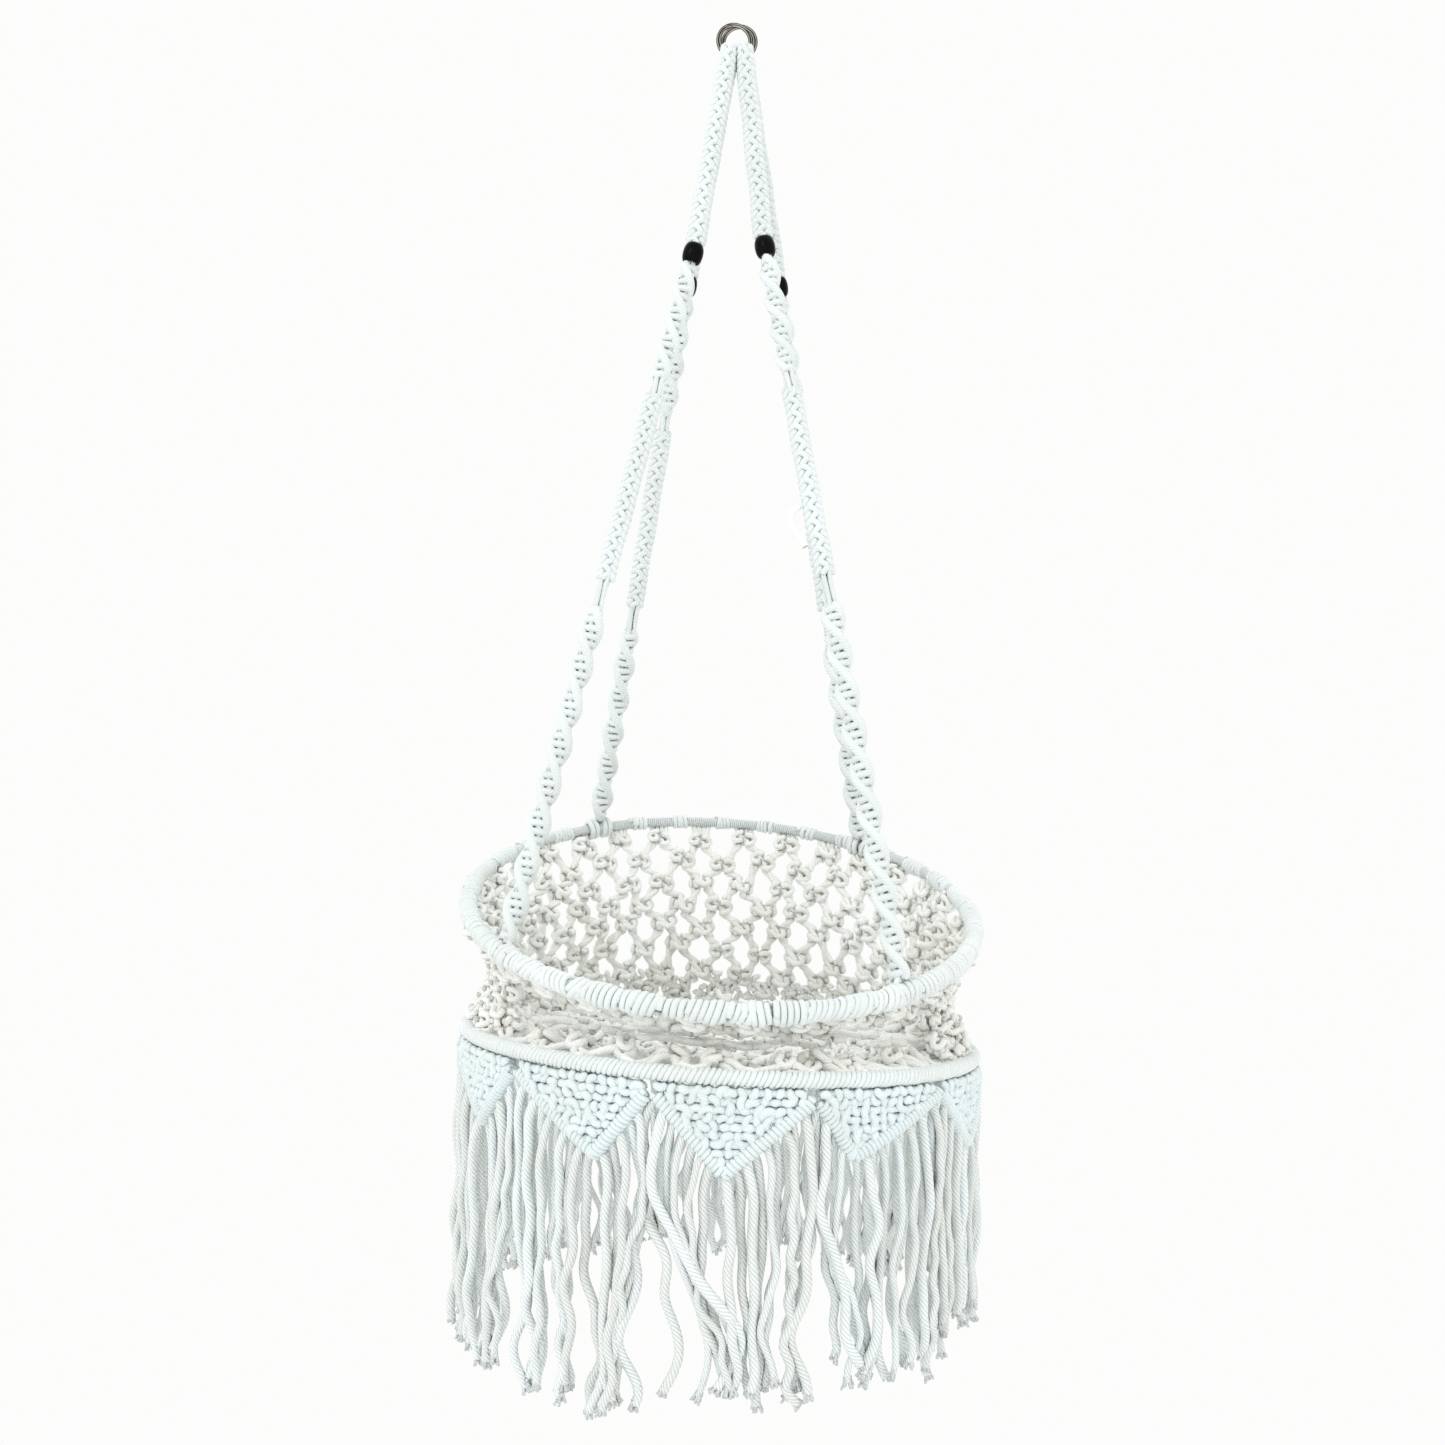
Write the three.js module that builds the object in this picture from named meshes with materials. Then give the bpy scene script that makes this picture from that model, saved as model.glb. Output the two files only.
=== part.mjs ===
// Hanging macrame planter: two cord-wrapped hoops, a knotted net between them, a knotted seat,
// four knotted legs with beads that hang from a pair of split rings, and a fringed skirt.
// Millimetres, +Z up, +X to the right, +Y to the back. The origin is where a hook touches the rings.
import * as THREE from 'three';

// ---- driving dimensions -------------------------------------------------------------------
const RING_WIRE = 1.4;               // half the thickness of a split ring's double coil
const RING_RADIUS = 11.2;            // centreline of a 25 mm split ring
const RING_SHIFT = { x: 1.5, y: 1.7 };
const RING_CENTRE_Z = -(RING_RADIUS - RING_WIRE);
const RING_BOTTOM_Z = RING_CENTRE_Z - RING_RADIUS;

const LOOP_BAND = { topWidth: 6, footWidth: 12, thick: 4.2, x: 3.3, steps: 44 };
const LOOP_TURN_RADIUS = 8.4;        // the bands arch over the ring wires at this radius

const BEAD = { length: 13.6, radius: 7, endRadius: 5.1, bore: 3.6 };
const NECK_RADIUS = 3.2;             // the leg's cords where they run through a bead
const CORD_BUNDLE_RADIUS = 4.2;      // the four bare cords between two kinds of knot
const SPIRAL_RADIUS = 6.5;
const SENNIT = { width: 12.4, thick: 6 };
const LEG_STATIONS = {               // distances below the bead's centre, along the leg
  neck: 7.3, upperSpiralEnd: 92, upperCordsEnd: 105, sennitEnd: 236, lowerCordsEnd: 257,
};
const PIECE_GAP = 0.4;

const HOOP_RADIUS = 175;             // centreline of both hoops
const ROD_RADIUS = 2.5;
const WRAP = { inner: 2.9, outer: 5.2, slit: 0.5 };
const HITCH = { inner: 5.8, outer: 8.0, length: 14 };
const HOOP_ROLL = THREE.MathUtils.degToRad(2.5);   // both hoops hang a little low on the right
const UPPER_HOOP = { z: -612, pitch: THREE.MathUtils.degToRad(15.5) };
const LOWER_HOOP = { z: -704, pitch: THREE.MathUtils.degToRad(-2.7) };

const NET = { thick: 4, underUpper: 8.6, overLower: 5.8, waist: 18, frontWaist: 30, columns: 32, rows: 4 };
const SEAT = { radius: 169, top: -2, thick: 6 };

const PENNANTS = 11;
const PENNANT_PITCH = 2 * Math.PI / PENNANTS;
const FIRST_PENNANT = THREE.MathUtils.degToRad(273);   // the middle of the front pennant
const PENNANT = {
  top: -6, shoulder: 5, thick: 6, gap: 0.005,
  drops: [54, 43, 47, 52, 55, 50, 53, 48, 51, 47, 50],
};
const FRINGE = {
  thick: 15, columns: 8,
  bottoms: [-188, -178, -167, -176, -182, -186, -184, -188, -195, -197, -203],
};

const LEGS = [                       // bead centre and the angle where the leg meets the hoop
  { name: 'front_left', bead: [-27.6, -24, -165], angle: 217.5 },
  { name: 'front_right', bead: [21.6, -24, -159.5], angle: 310.4 },
  { name: 'back_left', bead: [-32.5, 26, -174], angle: 124 },
  { name: 'back_right', bead: [32.5, 26, -174], angle: 51.7 },
];
// the trimmed end of cord beside the front right sennit, in that leg's own frame
const TAIL = {
  radius: 2.2,
  route: [[-8.9, 0, -187], [-12.6, -1.5, -189.5], [-16, -2.5, -194], [-16.4, -3, -200],
    [-14.3, -3.5, -206.5], [-11.6, -3.8, -212.5], [-10.2, -4, -216.5]],
};

// ---- materials ----------------------------------------------------------------------------
const cotton = (name, colour) => new THREE.MeshStandardMaterial({
  name, color: colour, roughness: 0.95, metalness: 0,
});
const frontCotton = cotton('cotton', '#e9eeee');
const shadedCotton = cotton('inner_cotton', '#e4e0d6');
const nickel = new THREE.MeshStandardMaterial({
  name: 'nickel', color: '#a8a498', roughness: 0.25, metalness: 1,
});
const hoopSteel = new THREE.MeshStandardMaterial({
  name: 'hoop_steel', color: '#8d8f90', roughness: 0.45, metalness: 1,
});
const blackBead = new THREE.MeshStandardMaterial({
  name: 'black_bead', color: '#0b0c0e', roughness: 0.12, metalness: 0,
});

// ---- helpers ------------------------------------------------------------------------------
function named(name, geometry, material) {
  const mesh = new THREE.Mesh(geometry, material);
  mesh.name = name;
  return mesh;
}

// A solid turned about +Z from [radius, height] points.
function turned(profile, segments) {
  const points = profile.map(([radius, height]) => new THREE.Vector2(radius, height));
  return new THREE.LatheGeometry(points, segments).rotateX(Math.PI / 2);
}

function arc(radius, from, to, steps) {
  return Array.from({ length: steps + 1 }, (_, i) => {
    const angle = from + (to - from) * i / steps;
    return [radius * Math.cos(angle), radius * Math.sin(angle)];
  });
}

// A closed solid from rings of four corners: columns[i] = [outerTop, outerBottom, innerBottom,
// innerTop]. It either closes on itself or has a flat cap at each end.
function fourSidedSweep(columns, closed) {
  const positions = columns.flat().flatMap((corner) => corner.toArray());
  const indices = [];
  const spans = closed ? columns.length : columns.length - 1;
  for (let i = 0; i < spans; i++) {
    const here = 4 * i;
    const next = 4 * ((i + 1) % columns.length);
    for (let side = 0; side < 4; side++) {
      const other = (side + 1) % 4;
      indices.push(here + side, next + other, here + other);
      indices.push(here + side, next + side, next + other);
    }
  }
  if (!closed) {
    const last = 4 * (columns.length - 1);
    indices.push(0, 1, 2, 0, 2, 3);
    indices.push(last, last + 2, last + 1, last, last + 3, last + 2);
  }
  const geometry = new THREE.BufferGeometry();
  geometry.setAttribute('position', new THREE.Float32BufferAttribute(positions, 3));
  geometry.setIndex(indices);
  geometry.computeVertexNormals();
  return geometry;
}

function hoopFrame({ z, pitch }) {
  const frame = new THREE.Group();
  frame.position.set(0, 0, z);
  frame.rotation.set(pitch, HOOP_ROLL, 0);
  frame.updateMatrix();
  return frame;
}

function around(radius, angle, height) {
  return new THREE.Vector3(radius * Math.cos(angle), radius * Math.sin(angle), height);
}

// ---- split rings --------------------------------------------------------------------------
function splitRing(name, side) {
  const ring = named(name, new THREE.TorusGeometry(RING_RADIUS, RING_WIRE, 8, 24), nickel);
  ring.rotation.x = Math.PI / 2;
  ring.position.set(side * RING_SHIFT.x, side * RING_SHIFT.y, RING_CENTRE_Z);
  return ring;
}

// ---- the two rope loops that ride in the rings ---------------------------------------------
function bandSection(width, thick) {
  const [w, t] = [width / 2, thick / 2];
  const section = new THREE.Shape();
  section.moveTo(-t, -w * 0.6);
  section.lineTo(-t, w * 0.6);
  section.lineTo(-t * 0.4, w);
  section.lineTo(t * 0.4, w);
  section.lineTo(t, w * 0.6);
  section.lineTo(t, -w * 0.6);
  section.lineTo(t * 0.4, -w);
  section.lineTo(-t * 0.4, -w);
  section.closePath();
  return section;
}

function ropeLoop(name, frontLeg, backLeg, side) {
  const x = side * LOOP_BAND.x;
  const arch = arc(LOOP_TURN_RADIUS, Math.PI, 0, 6)
    .map(([y, rise]) => new THREE.Vector3(x, y, RING_BOTTOM_Z + rise));
  const route = new THREE.CatmullRomCurve3([
    sennitFoot(frontLeg), ...arch, sennitFoot(backLeg),
  ], false, 'centripetal');
  const { topWidth, footWidth, thick, steps } = LOOP_BAND;
  const columns = Array.from({ length: steps + 1 }, (_, i) => {
    const point = route.getPointAt(i / steps);
    const along = route.getTangentAt(i / steps);
    const across = new THREE.Vector3(1, 0, 0).addScaledVector(along, -along.x).normalize();
    const out = new THREE.Vector3().crossVectors(along, across);
    const drop = THREE.MathUtils.clamp((RING_BOTTOM_Z - 2 - point.z) / 22, 0, 1);
    const halfWidth = THREE.MathUtils.lerp(topWidth, footWidth, drop) / 2;
    return [[1, 1], [1, -1], [-1, -1], [-1, 1]].map(([x, y]) => point.clone()
      .addScaledVector(across, x * halfWidth).addScaledVector(out, y * thick / 2));
  });
  return named(name, fourSidedSweep(columns, false), frontCotton);
}

// ---- legs ---------------------------------------------------------------------------------
const upperFrame = hoopFrame(UPPER_HOOP);
const lowerFrame = hoopFrame(LOWER_HOOP);

function legLine(leg) {
  const bead = new THREE.Vector3(...leg.bead);
  const angle = THREE.MathUtils.degToRad(leg.angle);
  const hoop = around(HOOP_RADIUS, angle, 0).applyMatrix4(upperFrame.matrix);
  const direction = hoop.clone().sub(bead);
  return { bead, angle, length: direction.length(), direction: direction.normalize() };
}

// Just above a bead, where the rope loop hands over to the cords in the bead's bore.
function sennitFoot(leg) {
  const { bead, direction } = legLine(leg);
  return bead.clone().addScaledVector(direction, -LEG_STATIONS.neck - 2 * PIECE_GAP);
}

function beadGeometry() {
  const half = BEAD.length / 2;
  return turned([
    [BEAD.bore, -half], [BEAD.endRadius, -half], [BEAD.radius - 0.7, -half / 2],
    [BEAD.radius, 0], [BEAD.radius - 0.7, half / 2], [BEAD.endRadius, half],
    [BEAD.bore, half], [BEAD.bore, -half],
  ], 14);
}

function upperSpiralGeometry() {
  const { neck, upperSpiralEnd, upperCordsEnd } = LEG_STATIONS;
  return turned([
    [0, -upperCordsEnd], [CORD_BUNDLE_RADIUS, -upperCordsEnd],
    [CORD_BUNDLE_RADIUS, -upperSpiralEnd - 5], [SPIRAL_RADIUS, -upperSpiralEnd],
    [SPIRAL_RADIUS, -neck - 3], [NECK_RADIUS, -neck], [NECK_RADIUS, neck], [0, neck],
  ], 10);
}

function lowerSpiralGeometry(legLength) {
  const { sennitEnd, lowerCordsEnd } = LEG_STATIONS;
  const top = -sennitEnd - PIECE_GAP;
  const end = -(legLength - HITCH.outer - 1);
  return turned([
    [0, end], [CORD_BUNDLE_RADIUS, end], [SPIRAL_RADIUS, end + 8],
    [SPIRAL_RADIUS, -lowerCordsEnd - 5], [CORD_BUNDLE_RADIUS, -lowerCordsEnd],
    [CORD_BUNDLE_RADIUS, top], [0, top],
  ], 10);
}

function sennitGeometry() {
  const { upperCordsEnd, sennitEnd } = LEG_STATIONS;
  const depth = sennitEnd - upperCordsEnd - PIECE_GAP;
  return new THREE.ExtrudeGeometry(bandSection(SENNIT.width, SENNIT.thick), {
    depth, steps: 1, bevelEnabled: false,
  }).rotateZ(Math.PI / 2).translate(0, 0, -sennitEnd);
}

function hitch(leg) {
  const section = new THREE.Shape();
  section.absarc(0, 0, HITCH.outer, 0, 2 * Math.PI, false);
  const hole = new THREE.Path();
  hole.absarc(0, 0, HITCH.inner, 0, 2 * Math.PI, true);
  section.holes.push(hole);
  const geometry = new THREE.ExtrudeGeometry(section, {
    depth: HITCH.length, steps: 1, bevelEnabled: false, curveSegments: 6,
  }).translate(0, 0, -HITCH.length / 2);
  const { angle } = legLine(leg);
  const tangent = new THREE.Vector3(-Math.sin(angle), Math.cos(angle), 0);
  const mesh = named(`${leg.name}_hitch`, geometry, frontCotton);
  mesh.position.copy(around(HOOP_RADIUS, angle, 0));
  mesh.quaternion.setFromUnitVectors(new THREE.Vector3(0, 0, 1), tangent);
  return mesh;
}

function legGroup(leg) {
  const { bead, length, direction } = legLine(leg);
  const group = new THREE.Group();
  group.position.copy(bead);
  group.quaternion.setFromUnitVectors(new THREE.Vector3(0, 0, -1), direction);
  group.add(
    named(`${leg.name}_bead`, beadGeometry(), blackBead),
    named(`${leg.name}_upper_spiral`, upperSpiralGeometry(), frontCotton),
    named(`${leg.name}_sennit`, sennitGeometry(), frontCotton),
    named(`${leg.name}_lower_spiral`, lowerSpiralGeometry(length), frontCotton),
  );
  if (leg.name === 'front_right') group.add(looseTail());
  return group;
}

function looseTail() {
  const route = new THREE.CatmullRomCurve3(TAIL.route.map((p) => new THREE.Vector3(...p)));
  const section = new THREE.Shape(arc(TAIL.radius, 0, 2 * Math.PI * 7 / 8, 7)
    .map(([x, y]) => new THREE.Vector2(x, y)));
  const geometry = new THREE.ExtrudeGeometry(section, {
    steps: 10, bevelEnabled: false, extrudePath: route,
  });
  return named('loose_cord_tail', geometry, shadedCotton);
}

// ---- hoops --------------------------------------------------------------------------------
function hoopRod(name) {
  return named(name, new THREE.TorusGeometry(HOOP_RADIUS, ROD_RADIUS, 6, 48), hoopSteel);
}

// The cord wrapping is a sleeve round the rod, left open by a thin slit along its inner side.
function hoopWrap(name) {
  const halfSlit = WRAP.slit / WRAP.inner;
  const outside = arc(WRAP.outer, -Math.PI + halfSlit, Math.PI - halfSlit, 9);
  const inside = arc(WRAP.inner, Math.PI - halfSlit, -Math.PI + halfSlit, 7);
  const profile = [...outside, ...inside, outside[0]]
    .map(([across, up]) => [HOOP_RADIUS + across, up]);
  return named(name, turned(profile, 48), frontCotton);
}

// ---- the net between the hoops --------------------------------------------------------------
function netPoint(angle, rise, outward) {
  const low = around(HOOP_RADIUS, angle, NET.overLower).applyMatrix4(lowerFrame.matrix);
  const high = around(HOOP_RADIUS, angle, -NET.underUpper).applyMatrix4(upperFrame.matrix);
  const front = THREE.MathUtils.clamp(-1.6 * Math.sin(angle) - 0.75, 0, 1);
  const waist = THREE.MathUtils.lerp(NET.waist, NET.frontWaist, front) * Math.sin(Math.PI * rise);
  const radial = new THREE.Vector3(Math.cos(angle), Math.sin(angle), 0);
  return low.lerp(high, rise).addScaledVector(radial, outward - waist);
}

function netWall() {
  const positions = [];
  const indices = [];
  const ring = 2 * (NET.rows + 1);
  for (let column = 0; column < NET.columns; column++) {
    const angle = 2 * Math.PI * column / NET.columns;
    for (let row = 0; row <= NET.rows; row++) {
      positions.push(...netPoint(angle, row / NET.rows, NET.thick / 2).toArray());
    }
    for (let row = NET.rows; row >= 0; row--) {
      positions.push(...netPoint(angle, row / NET.rows, -NET.thick / 2).toArray());
    }
    const here = ring * column;
    const next = ring * ((column + 1) % NET.columns);
    for (let i = 0; i < ring; i++) {
      const j = (i + 1) % ring;
      indices.push(here + i, next + i, next + j);
      indices.push(here + i, next + j, here + j);
    }
  }
  const geometry = new THREE.BufferGeometry();
  geometry.setAttribute('position', new THREE.Float32BufferAttribute(positions, 3));
  geometry.setIndex(indices);
  geometry.computeVertexNormals();
  return named('net_wall', geometry, shadedCotton);
}

// ---- the seat -------------------------------------------------------------------------------
function seatNet() {
  const { radius, top, thick } = SEAT;
  const profile = [[0, top - thick], [radius, top - thick], [radius, top], [0, top]];
  return named('seat_net', turned(profile, 40), shadedCotton);
}

// ---- the skirt: knotted pennants, each with its own fringe ----------------------------------
// A curved panel hanging plumb from the lower hoop. across runs from -1 to 1 over its width.
function skirtPanel(name, middle, thick, columns, topAt, bottomAt) {
  const halfWidth = PENNANT_PITCH / 2 - PENNANT.gap;
  const corners = Array.from({ length: columns + 1 }, (_, i) => {
    const across = 2 * i / columns - 1;
    const angle = middle + across * halfWidth;
    const corner = (radius, drop) => around(radius, angle, 0).applyMatrix4(lowerFrame.matrix)
      .add(new THREE.Vector3(0, 0, drop));
    const [outer, inner] = [HOOP_RADIUS + thick / 2, HOOP_RADIUS - thick / 2];
    return [
      corner(outer, topAt(across)), corner(inner, topAt(across)),
      corner(inner, bottomAt(across)), corner(outer, bottomAt(across)),
    ];
  });
  return named(name, fourSidedSweep(corners, false), frontCotton);
}

function pennantEdge(drop, across) {
  return PENNANT.top - PENNANT.shoulder - (drop - PENNANT.shoulder) * (1 - Math.abs(across));
}

function skirt() {
  const panels = [];
  for (let i = 0; i < PENNANTS; i++) {
    const middle = FIRST_PENNANT + i * PENNANT_PITCH;
    const number = String(i + 1).padStart(2, '0');
    const drop = PENNANT.drops[i];
    panels.push(
      skirtPanel(`pennant_${number}`, middle, PENNANT.thick, FRINGE.columns,
        () => PENNANT.top, (across) => pennantEdge(drop, across)),
      skirtPanel(`fringe_${number}`, middle, FRINGE.thick, FRINGE.columns,
        (across) => pennantEdge(drop, across) - PIECE_GAP, () => FRINGE.bottoms[i]),
    );
  }
  return panels;
}

// ---- assembly -------------------------------------------------------------------------------
const [frontLeft, frontRight, backLeft, backRight] = LEGS;
const group = new THREE.Group();
group.add(
  splitRing('split_ring_left', -1),
  splitRing('split_ring_right', 1),
  ropeLoop('left_rope_loop', frontLeft, backLeft, -1),
  ropeLoop('right_rope_loop', frontRight, backRight, 1),
  ...LEGS.map(legGroup),
  upperFrame,
  lowerFrame,
  netWall(),
  ...skirt(),
);
upperFrame.add(hoopRod('upper_hoop_rod'), hoopWrap('upper_hoop_wrap'), ...LEGS.map(hitch));
lowerFrame.add(hoopRod('lower_hoop_rod'), hoopWrap('lower_hoop_wrap'), seatNet());

export default group;
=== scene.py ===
"""Looks of the hanging macrame planter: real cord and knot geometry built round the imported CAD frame.

Metres, +Z up, +X right, +Y to the back. The origin is where a hook touches the split rings.
"""
import math

import bpy
import numpy as np
from mathutils import Matrix, Vector


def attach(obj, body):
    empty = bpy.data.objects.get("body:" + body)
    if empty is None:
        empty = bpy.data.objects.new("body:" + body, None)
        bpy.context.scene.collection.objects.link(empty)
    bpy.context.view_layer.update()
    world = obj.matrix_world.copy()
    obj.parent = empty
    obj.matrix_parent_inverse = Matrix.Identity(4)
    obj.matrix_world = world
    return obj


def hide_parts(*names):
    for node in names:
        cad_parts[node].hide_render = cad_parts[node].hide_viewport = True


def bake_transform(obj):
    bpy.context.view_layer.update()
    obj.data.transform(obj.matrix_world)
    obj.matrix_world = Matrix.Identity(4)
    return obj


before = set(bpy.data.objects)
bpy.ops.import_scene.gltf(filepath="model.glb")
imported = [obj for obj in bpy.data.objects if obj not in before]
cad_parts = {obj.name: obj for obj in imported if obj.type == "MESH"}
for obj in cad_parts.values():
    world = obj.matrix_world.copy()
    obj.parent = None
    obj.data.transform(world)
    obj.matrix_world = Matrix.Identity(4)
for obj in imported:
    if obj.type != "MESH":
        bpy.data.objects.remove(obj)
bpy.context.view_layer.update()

MM = 0.001
TAU = 2 * math.pi
rng = np.random.default_rng(11)

# ---- sizes that repeat the CAD's ----
RING_RADIUS = 11.2 * MM
RING_CENTRE_Z = -9.8 * MM
RING_SHIFT_X = 1.5 * MM
RING_SHIFT_Y = 1.7 * MM
RING_BOTTOM_Z = RING_CENTRE_Z - RING_RADIUS
LOOP_X = 5.6 * MM
LOOP_TURN_RADIUS = 6.2 * MM
HOOP_RADIUS = 175 * MM
HOOP_ROLL = math.radians(2.5)
UPPER_HOOP_Z = -612 * MM
UPPER_HOOP_PITCH = math.radians(15.5)
LOWER_HOOP_Z = -704 * MM
LOWER_HOOP_PITCH = math.radians(-2.7)
WRAP_OUTER = 5.2 * MM
LEGS = {
    "front_left": ((-27.6, -24, -165), 217.5),
    "front_right": ((21.6, -24, -159.5), 310.4),
    "back_left": ((-32.5, 26, -174), 124.0),
    "back_right": ((32.5, 26, -174), 51.7),
}
LEG_PHASES = {"front_left": 0.4, "front_right": 1.2, "back_left": 2.0, "back_right": 2.9}
NECK_END, SPIRAL_END, CORDS_END = 7.3 * MM, 92 * MM, 105 * MM
SENNIT_END, LOWER_CORDS_END = 236 * MM, 257 * MM
PENNANTS = 11
PENNANT_PITCH = TAU / PENNANTS
FIRST_PENNANT = math.radians(273)
PENNANT_TOP = -6 * MM
# in millimetres, from the first pennant on: how deep it is, and how far under the hoop its cords end
PENNANT_DROPS = (54, 43, 47, 52, 55, 50, 53, 48, 51, 47, 50)
FRINGE_BOTTOMS = (-188, -178, -167, -176, -182, -186, -184, -188, -195, -197, -203)
PENNANT_HALF = HOOP_RADIUS * PENNANT_PITCH / 2 - 1.2 * MM
# x, y and z of the loose cord end, in the front right leg's own axes, in millimetres
TAIL_ROUTE = [(-8.9, 0, -187), (-12.6, -1.5, -189.5), (-16, -2.5, -194), (-16.4, -3, -200),
              (-14.3, -3.5, -206.5), (-11.6, -3.8, -212.5), (-10.2, -4, -216.5)]

# ---- cord diameters ----
RING_WIRE = 1.9 * MM
LEG_CORD = 3.4 * MM
SENNIT_EDGE_CORD = 4.2 * MM
SENNIT_CORE_CORD = 4.7 * MM
SPIRAL_CORD = 4.9 * MM
HITCH_CORD = 4.2 * MM
WRAP_CORD = 3.7 * MM
UNDER_WRAP_CORD = 1.5 * MM
NET_CORD = 4.6 * MM
NET_FOOT_CORD = 4.4 * MM
LACING_CORD = 5.0 * MM
PENNANT_CORD = 5.4 * MM
PENNANT_BACKING_CORD = 5.2 * MM
PENNANT_HITCH_CORD = 3.5 * MM
FRINGE_CORD = 5.8 * MM
FRAY_YARN = 2.3 * MM
TAIL_CORD = 4.4 * MM

# ---- how the knotwork repeats ----
SENNIT_PLAIT = 9.6 * MM
UPPER_SPIRAL_TURN, UPPER_SPIRAL_RUNGS, UPPER_SPIRAL_SIZE = 21 * MM, 4, 1.1
LOWER_SPIRAL_TURN, LOWER_SPIRAL_RUNGS, LOWER_SPIRAL_SIZE = 26.5 * MM, 5, 1.22
WRAP_PITCH, UNDER_WRAP_PITCH = 3.5 * MM, 1.6 * MM
NET_COLUMNS, NET_ROWS = 32, 8
NET_FOOT_KNOTS, NET_FOOT_ROWS = 170, 4
FRONT_FOLDS = 14
SEAT_MIDDLE_COLUMNS, SEAT_MIDDLE_ROWS = 22, (0.27, 0.38, 0.48)
SEAT_INNER_COLUMNS, SEAT_INNER_ROWS = 12, (0.52, 0.64, 0.76, 0.88)
LACING_COLUMNS = 30
LACING_INWARD = (0, 27, 47)
LACING_HEIGHTS = (3, 4, -3)
PENNANT_ROWS, PENNANT_ROW_PITCH, PENNANT_KNOT_PITCH = 11, 5.2 * MM, 7.0 * MM
LUMP_TAPER = np.array([0.75, 0.92, 1, 1.04, 1.04, 1, 0.92, 0.75])
PENNANT_HITCH_PITCH = 3.1 * MM
FRINGE_COUNT, FRINGE_CLUMPS, YARNS_IN_FRAY = 17, 5, 10

# ---- camera and stage ----
CAMERA_LENS, CAMERA_SENSOR = 42.1038, 36.0
BACKDROP = (0.975, 0.98, 0.97, 1)
CAST_STRENGTH, SEEN_STRENGTH = 1.22, 1.0
FLOOR_HALF, FLOOR_Z = 14.0, -1.35


# ---- the camera ----
def make_camera():
    data = bpy.data.cameras.new("camera")
    data.lens = CAMERA_LENS
    data.sensor_width = CAMERA_SENSOR
    data.clip_end = 50
    camera = bpy.data.objects.new("camera", data)
    bpy.context.collection.objects.link(camera)
    look = Matrix.Rotation(math.radians(90), 4, "X")
    roll = Matrix.Rotation(math.radians(1.0), 4, "Z")
    camera.matrix_world = Matrix.Translation((-1.8 * MM, -1.18, -0.485)) @ look @ roll
    bpy.context.scene.camera = camera


# ---- vectors and hoops ----
def unit(v):
    return v / np.linalg.norm(v, axis=-1, keepdims=True)


def rotation_x(angle):
    c, s = math.cos(angle), math.sin(angle)
    return np.array([[1, 0, 0], [0, c, -s], [0, s, c]])


def rotation_y(angle):
    c, s = math.cos(angle), math.sin(angle)
    return np.array([[c, 0, s], [0, 1, 0], [-s, 0, c]])


class Hoop:
    """A hoop's own frame: points are given by angle, distance outside the centreline and height."""

    def __init__(self, z, pitch):
        self.centre = np.array([0, 0, z])
        self.turn = rotation_x(pitch) @ rotation_y(HOOP_ROLL)

    def at(self, angle, out=0.0, up=0.0):
        angle, out, up = np.broadcast_arrays(np.asarray(angle, float), out, up)
        r = HOOP_RADIUS + out
        local = np.stack([r * np.cos(angle), r * np.sin(angle), up], -1)
        return self.centre + local @ self.turn.T

    def axes(self, angle):
        """Tangent, outward and up at an angle, as columns."""
        c, s = math.cos(angle), math.sin(angle)
        return self.turn @ np.array([[-s, c, 0], [c, s, 0], [0, 0, 1]]).T


upper = Hoop(UPPER_HOOP_Z, UPPER_HOOP_PITCH)
lower = Hoop(LOWER_HOOP_Z, LOWER_HOOP_PITCH)


# ---- cords as meshes ----
def smooth_path(points, count):
    """A Catmull-Rom curve through points, resampled at count even steps. points is (..., k, 3)."""
    points = np.asarray(points, float)
    k = points.shape[-2]
    ends = np.concatenate([2 * points[..., :1, :] - points[..., 1:2, :], points,
                           2 * points[..., -1:, :] - points[..., -2:-1, :]], -2)
    t = np.linspace(0, k - 1, count)
    i = np.minimum(t.astype(int), k - 2)
    f = (t - i)[:, None]
    a, b, c, d = (ends[..., i + j, :] for j in range(4))
    return 0.5 * (2 * b + (c - a) * f + (2 * a - 5 * b + 4 * c - d) * f * f
                  + (3 * b - a - 3 * c + d) * f ** 3)


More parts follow.
